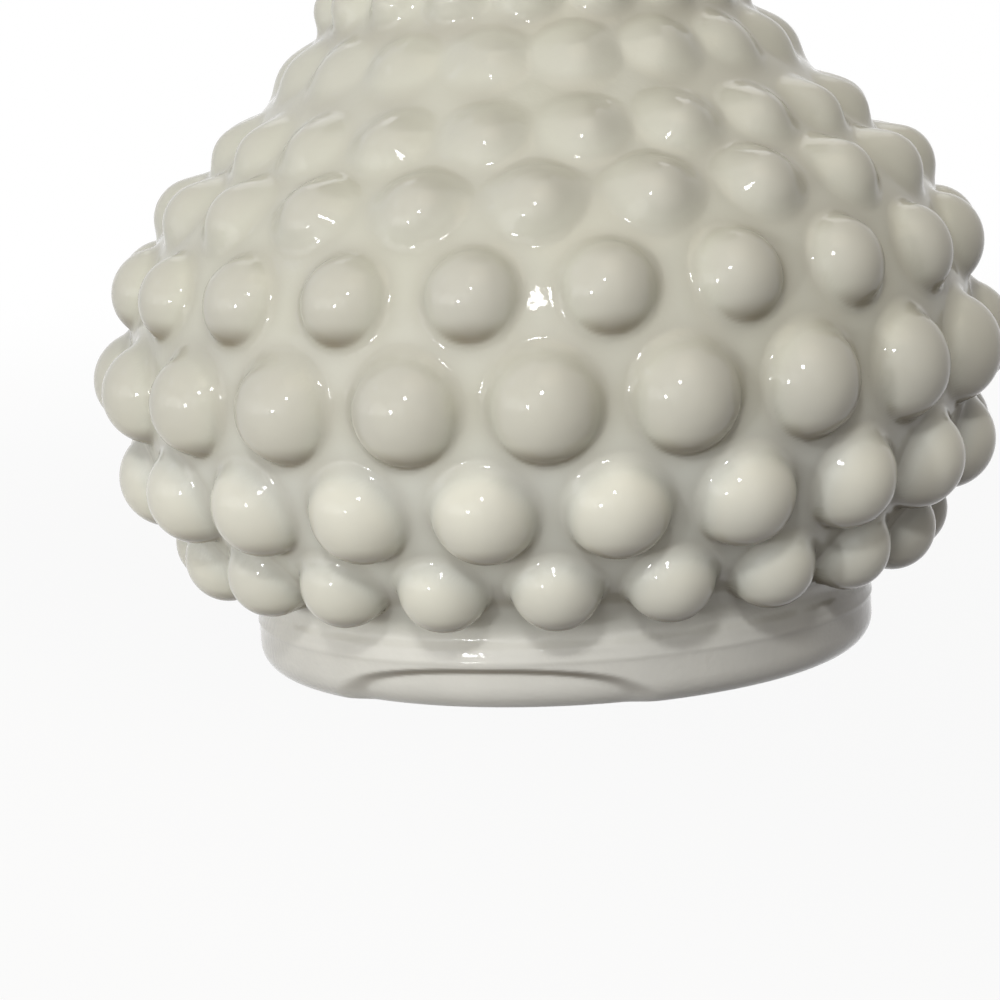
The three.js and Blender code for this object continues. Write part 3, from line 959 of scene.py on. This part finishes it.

# %% [markdown]
# The vase stands on a pale floor, a plain disc. Its colour holds painted light and shade: warm and
# bright on the window's side, so that it sends soft light up under the hobs, and painted dim to
# the right and behind the vase, as a table lies in shade away from a window. To the camera and to
# the glass it turns to pure white further out, so it runs into the white backdrop with no horizon.

# %% Floor
FLOOR_RADIUS = 3.0
# Painted light and shade on the floor: bright on the window's side, dim to the right and behind.
FLOOR_PAINTED_LIGHT = (0.64, 0.61, 0.54)
FLOOR_PAINTED_SHADE = (0.05, 0.035, 0.025)
PAINTED_SHADE_SIDE = (0.86, 0.51, 0.0)
BRIGHT_UNTIL, DIM_FROM = -0.08, 0.0
WHITE_NEAR = 0.94
FLOOR_ROUGHNESS = 0.9
FADE_FROM, FADE_TO = 0.06, 0.5


def seen_directly(tree, kinds):
    """1 for the kinds of ray given, 0 for light that only arrives by scattering."""
    path = add_node(tree, "ShaderNodeLightPath")
    seen = path.outputs[kinds[0]]
    for kind in kinds[1:]:
        seen = calculate(tree, "MAXIMUM", seen, path.outputs[kind])
    return seen


def floor_disc(sides=96):
    """A flat disc round the axis."""
    turns = [2 * math.pi * index / sides for index in range(sides)]
    edge = [(FLOOR_RADIUS * math.cos(turn), FLOOR_RADIUS * math.sin(turn), 0) for turn in turns]
    mesh = bpy.data.meshes.new("pale_floor")
    mesh.from_pydata(edge, [], [tuple(range(sides))])
    disc = bpy.data.objects.new("pale_floor", mesh)
    bpy.context.scene.collection.objects.link(disc)
    return disc


def floor_finish():
    """Matt and pale for the light, nearly white for the eye, with the vase's shadow left in."""
    material = bpy.data.materials.new("pale_floor")
    material.use_nodes = True
    tree = material.node_tree
    shader = tree.nodes["Principled BSDF"]
    shader.inputs["Roughness"].default_value = FLOOR_ROUGHNESS
    white = add_node(tree, "ShaderNodeEmission")
    white.inputs["Color"].default_value = (1, 1, 1, 1)
    place = add_node(tree, "ShaderNodeTexCoord").outputs["Object"]
    # The painted shade on the floor grows towards the right and the back.
    side = add_node(tree, "ShaderNodeVectorMath", operation="DOT_PRODUCT")
    tree.links.new(place, side.inputs[0])
    side.inputs[1].default_value = PAINTED_SHADE_SIDE
    dim = scale_between(tree, side.outputs["Value"], BRIGHT_UNTIL, DIM_FROM)
    tree.links.new(blend_colours(tree, dim, FLOOR_PAINTED_LIGHT, FLOOR_PAINTED_SHADE), shader.inputs["Base Color"])
    away = add_node(tree, "ShaderNodeVectorMath", operation="LENGTH")
    tree.links.new(place, away.inputs[0])
    far = scale_between(tree, away.outputs["Value"], FADE_FROM, FADE_TO)
    level = calculate(tree, "MULTIPLY_ADD", far, 1 - WHITE_NEAR)
    level.node.inputs[2].default_value = WHITE_NEAR
    seen = seen_directly(tree, ["Is Camera Ray", "Is Glossy Ray", "Is Transmission Ray"])
    mix = add_node(tree, "ShaderNodeMixShader")
    tree.links.new(calculate(tree, "MULTIPLY", seen, level), mix.inputs[0])
    tree.links.new(shader.outputs[0], mix.inputs[1])
    tree.links.new(white.outputs[0], mix.inputs[2])
    tree.links.new(mix.outputs[0], tree.nodes["Material Output"].inputs["Surface"])
    return material


floor = floor_disc()
floor.data.materials.append(floor_finish())

# %% [markdown]
# The world is two things at once. For the eye, the glass and anything clear it is a white
# backdrop. For scattered light it is a dim brown room, which keeps the hollows warm and dark.

# %% World
ROOM_COLOUR = (0.020, 0.012, 0.008)
scene = bpy.context.scene
scene.view_settings.view_transform = "Standard"
world = bpy.data.worlds.new("room")
world.use_nodes = True
scene.world = world
tree = world.node_tree
room = tree.nodes["Background"]
room.inputs["Color"].default_value = (*ROOM_COLOUR, 1)
backdrop = add_node(tree, "ShaderNodeBackground")
backdrop.inputs["Color"].default_value = (1, 1, 1, 1)
mix = add_node(tree, "ShaderNodeMixShader")
seen = seen_directly(tree, ["Is Camera Ray", "Is Glossy Ray", "Is Transmission Ray"])
tree.links.new(seen, mix.inputs[0])
tree.links.new(room.outputs[0], mix.inputs[1])
tree.links.new(backdrop.outputs[0], mix.inputs[2])
tree.links.new(mix.outputs[0], tree.nodes["World Output"].inputs["Surface"])

# %% [markdown]
# Glass is mostly its reflections, so each lamp has a size as well as a strength. Two small lamps
# in front give the crisp sparks on the hobs. Large dim ones stand for a window on the left, the
# room in front, the ceiling and the walls, and model the bumps without leaving hard patches. The
# right side gets less, so the bowl looks round. Two lamps high behind serve the views from the
# back: low down they would draw bright rims round the hobs at the outline.

# %% Lamps
LAMP_TARGET = Vector((0, 0, 0.035))
WHITE = (1.0, 1.0, 1.0)
COOL = (0.97, 0.98, 1.0)
LAMPS = [
    # name, azimuth and elevation in degrees, distance and size in m, watts, colour
    ("key_lamp", -4.5, 32, 2.2, 0.25, 9.0, WHITE),
    ("second_lamp", -33, 5, 2.2, 0.22, 7.2, COOL),
    ("window_high", -6, 36, 2.0, 1.9, 3.8, WHITE),
    ("window_middle", -28, 3, 2.0, 1.6, 7.3, COOL),
    ("window_low", -60, 1, 2.0, 1.4, 7.8, WHITE),
    ("room_front", 14, 36, 2.0, 1.9, 3.4, WHITE),
    ("ceiling", 0, 88, 2.0, 1.8, 2.0, WHITE),
    ("left_side", -88, 6, 2.0, 1.0, 1.6, (0.94, 0.92, 1.0)),
    ("left_high", -88, 38, 2.0, 0.3, 0.3, (0.70, 0.75, 1.0)),
    ("back_high", 150, 60, 2.0, 1.5, 0.8, (1.0, 0.70, 0.45)),
    ("back_fill", 180, 46, 2.2, 1.6, 4.5, WHITE),
    ("right_high", 24, 62, 2.0, 1.5, 6.2, (1.0, 0.87, 0.64)),
    ("right_low", 26, 4, 2.0, 0.8, 0.8, WHITE),
]


def add_lamp(name, azimuth, elevation, distance, size, power, colour):
    """An area lamp that looks at the vase. Azimuth 0 is the front and grows to the right."""
    turn, rise = math.radians(azimuth), math.radians(elevation)
    way = Vector((math.sin(turn) * math.cos(rise), -math.cos(turn) * math.cos(rise), math.sin(rise)))
    data = bpy.data.lights.new(name, "AREA")
    data.shape = "DISK"
    data.size = size
    data.energy = power
    data.color = colour
    lamp = bpy.data.objects.new(name, data)
    lamp.location = LAMP_TARGET + way * distance
    lamp.rotation_euler = way.to_track_quat("Z", "Y").to_euler()
    bpy.context.scene.collection.objects.link(lamp)
    return lamp


for lamp_row in LAMPS:
    add_lamp(*lamp_row)
print("lamps:", len(LAMPS), "watts:", round(sum(lamp_row[5] for lamp_row in LAMPS), 1))

# %% [markdown]
# The camera stands about two and a half vase heights away and looks down by some nine degrees,
# with a slight roll. Those angles come from a fit of the rows to the middles of the hobs in the
# photograph. The place is written from the belly: how far it lies aside, above and ahead in the
# camera's own directions. The long lens keeps the bowl's roundness without bulging it.

# %% Camera
LENS = 108.36
SENSOR = 36.0
VIEW_DISTANCE = 322.0
VIEW_TILT = math.radians(9.20)
VIEW_ROLL = math.radians(3.16)
VIEW_TURN = math.radians(2.23)
BELLY_ASIDE = 5.52
BELLY_ABOVE = 15.78
right = Vector((math.cos(VIEW_ROLL), -math.sin(VIEW_ROLL) * math.sin(VIEW_TILT),
                -math.sin(VIEW_ROLL) * math.cos(VIEW_TILT)))
upward = Vector((math.sin(VIEW_ROLL), math.cos(VIEW_ROLL) * math.sin(VIEW_TILT),
                 math.cos(VIEW_ROLL) * math.cos(VIEW_TILT)))
ahead = Vector((0, math.cos(VIEW_TILT), -math.sin(VIEW_TILT)))
place = Vector((0, 0, float(BELLY[1]))) - BELLY_ASIDE * right - BELLY_ABOVE * upward - VIEW_DISTANCE * ahead
pose = Matrix((right, upward, -ahead)).transposed().to_4x4()
pose.translation = place * MM
camera_data = bpy.data.cameras.new("camera")
camera_data.lens = LENS
camera_data.sensor_width = SENSOR
camera_data.clip_start = 0.01
camera = bpy.data.objects.new("camera", camera_data)
camera.matrix_world = Matrix.Rotation(VIEW_TURN, 4, "Z") @ pose
scene.collection.objects.link(camera)
scene.camera = camera
print("camera, mm:", [round(value / MM, 2) for value in camera.matrix_world.translation])
